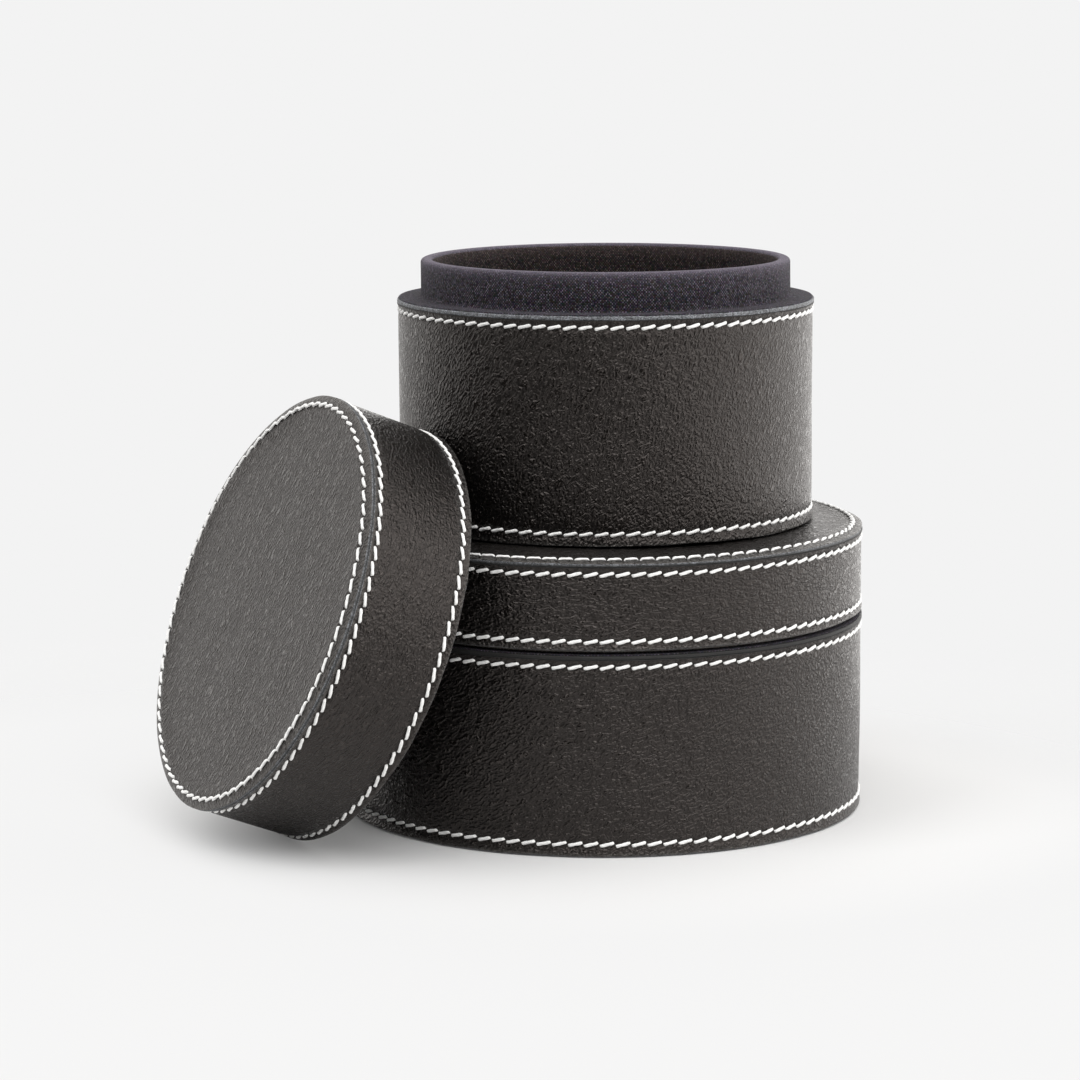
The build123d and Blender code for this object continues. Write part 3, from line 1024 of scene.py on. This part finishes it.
def dress_body(which, sizes, finishes):
    """Leather, canvas and thread of one box without its lid."""
    part = Part(which, "_body", sizes, upright_place(which + "_base_cover"), finishes)
    rows = {"low": HEM_LIFT + STITCH_INSET, "high": sizes.body_seam - SEAM_INSET}
    part.cover_side("_side_leather", "_body_leather", HEM_LIFT, sizes.body_seam, rows)
    # The shoulder ring's cut edge is painted pale on the small box, as light falling on it, and stays
    # black on the large one under its lid
    part.cover("_shoulder_ring", "_shoulder_leather", "black_leather", ("edge",),
               shoulder_outline(sizes), CLOTH_COLUMNS,
               ring_shape(sizes, part.seed + EDGE_SEED, SHOULDER_PAINTED_LIGHT[which]))
    part.cover_disc("_base_leather", "_base_cover", "black_leather", "leather",
                    sizes.board_outside, 0, BASE_COVER)
    part.cover("_collar_canvas", "_collar_cloth", "charcoal_canvas", ("canvas", "inner_canvas"),
               collar_outline(sizes), CLOTH_COLUMNS, cloth_shape(part.seed + CLOTH_SEED, sizes.collar_top),
               raw=lambda radius, height: radius < sizes.collar_inside + INNER_CANVAS_START)
    part.cover_disc("_floor_canvas", "_base_lining", "charcoal_canvas", "inner_canvas",
                    sizes.collar_inside - GLUE_LINE, sizes.floor_board_top, sizes.floor_board_top + CLOTH)
    part.sew_side("_thread_", rows)
    part.paint_boards("_body_core", "_base_board", "_collar_board")


def dress_lid(which, sizes, place, finishes, worn_seam):
    """Leather, canvas and thread of one lid."""
    part = Part(which, "_lid", sizes, place, finishes)
    face_count, face_row = FACE_STITCHES[which], sizes.radius - FACE_INSET
    rows = {"low": STITCH_INSET, "high": sizes.lid_seam - SEAM_INSET}
    part.cover_side("_lid_side_leather", "_lid_band", RIM_LIFT, sizes.lid_seam, rows, worn_seam)
    part.cover("_lid_face_leather", "_lid_top", "black_leather", ("leather", "edge"),
               face_outline(sizes), face_count * COLUMNS_PER_STITCH,
               face_shape(sizes, face_count, part.seed + EDGE_SEED),
               raw=lambda radius, height: height < sizes.lid_height - RAW_FACE,
               flat_grain=True, lie=GRAIN_LIE[which + "_lid_face_leather"])
    part.cover("_lid_lining", "_lid_lining_band", "charcoal_canvas", ("inner_canvas",),
               lid_lining_outline(sizes), CLOTH_COLUMNS, cloth_shape(part.seed + CLOTH_SEED))
    part.cover_disc("_lid_ceiling_canvas", "_lid_lining_disc", "charcoal_canvas", "inner_canvas",
                    sizes.lining_outside, sizes.lid_ceiling, sizes.lid_board_bottom)
    part.sew_side("_lid_thread_", rows)
    part.sew("_lid_face_thread", face_count, face_row, face_surface(sizes, face_row),
             part.seed + FACE_THREAD_SEED)
    part.paint_boards("_lid_core", "_lid_board")


# The studio

def floor():
    """Round pale floor under the boxes that turns clear towards its edge."""
    finish = Finish("pale_floor", Roughness=0.9, Base_Color=colour(FLOOR_TONE), Specular_IOR_Level=0.2)
    place = finish.node("NewGeometry", {})
    reach = finish.vector_math("DISTANCE", place, FLOOR_MIDDLE, 1)
    clear = finish.node("BsdfTransparent", {})
    flat = finish.node("Emission", {"Color": colour(BACKGROUND)})
    off_boxes = finish.vector_math("LENGTH", place, output=1)
    seen = finish.math("MULTIPLY", finish.node("LightPath", {}), finish.ramp(off_boxes, *FLAT_RAMP))
    shaded = finish.node("MixShader", {0: seen, 1: finish.shader.outputs[0], 2: flat})
    faded = finish.node("MixShader", {0: finish.ramp(reach, *FLOOR_FADE), 1: shaded, 2: clear})
    finish.tree.links.new(faded, finish.tree.nodes["Material Output"].inputs["Surface"])
    outline = [(0, 0), (FLOOR_RADIUS, 0), (FLOOR_RADIUS, -FLOOR_THICKNESS), (0, -FLOOR_THICKNESS)]
    mesh = turned_mesh("floor", outline, FLOOR_COLUMNS, plain_shape, [finish.material], flat_grain=True)
    mesh.transform(Matrix.Translation(FLOOR_MIDDLE))
    plate = bpy.data.objects.new("floor", mesh)
    bpy.context.scene.collection.objects.link(plate)


def surroundings():
    """Soft white studio, bright at the right, at the left behind and overhead, and flat to the camera."""
    world = bpy.data.worlds.new("studio")
    bpy.context.scene.world = world
    world.use_nodes = True
    world.node_tree.nodes.clear()
    light = Nodes(world.node_tree)
    direction = light.node("TexCoord", {})

    def lobe(towards, *ramp):
        """Smooth change with how nearly the direction is towards another."""
        near = light.vector_math("DOT_PRODUCT", direction, Vector(towards).normalized(), 1)
        return light.ramp(near, *ramp)

    sides = light.math("MAXIMUM", lobe(*KEY_SIDE), lobe(*LEFT_SCREEN))
    strength = light.node("Mix", {0: lobe(*OVERHEAD), 2: sides, 3: OVERHEAD_STRENGTH})
    studio = light.node("Background", {"Color": colour(STUDIO_WHITE), "Strength": strength})
    flat = light.node("Background", {"Color": colour(BACKGROUND)})
    both = light.node("MixShader", {0: light.node("LightPath", {}), 1: studio, 2: flat})
    light.tree.links.new(both, light.tree.nodes.new("ShaderNodeOutputWorld").inputs["Surface"])


def lamp(name, place, size, power):
    """A soft square lamp aimed at the boxes."""
    light = bpy.data.lights.new(name, "AREA")
    light.energy = power
    light.size = size
    holder = bpy.data.objects.new(name, light)
    holder.location = place
    holder.rotation_euler = (Vector(LAMP_TARGET) - Vector(place)).to_track_quat("-Z", "Y").to_euler()
    bpy.context.scene.collection.objects.link(holder)


def camera():
    """Camera at the photograph's angle and distance."""
    data = bpy.data.cameras.new("camera")
    data.sensor_width = CAMERA_SENSOR
    data.lens = CAMERA_LENS
    holder = bpy.data.objects.new("camera", data)
    holder.matrix_world = (Matrix.Translation(CAMERA_PLACE)
                           @ Matrix.Rotation(math.pi / 2 - CAMERA_TILT, 4, "X")
                           @ Matrix.Rotation(CAMERA_ROLL, 4, "Z"))
    bpy.context.scene.collection.objects.link(holder)
    bpy.context.scene.camera = holder


finishes = {
    "leather": leather_material(), "edge": raw_edge_material(),
    "canvas": canvas_material("charcoal_canvas", *CHARCOAL),
    "inner_canvas": canvas_material("inner_canvas", *INNER_CHARCOAL),
    "thread": thread_material(), "board": board_material(),
}
large, small = Sizes("large"), Sizes("small")
dress_body("large", large, finishes)
dress_lid("large", large, upright_place("large_lid_lining_band"), finishes, worn_seam=False)
dress_body("small", small, finishes)
dress_lid("small", small, leaning_place(small), finishes, worn_seam=True)

floor()
surroundings()
for name, (place, size, power) in LAMPS.items():
    lamp(name, place, size, power)
camera()
bpy.context.scene.view_settings.view_transform = "Standard"
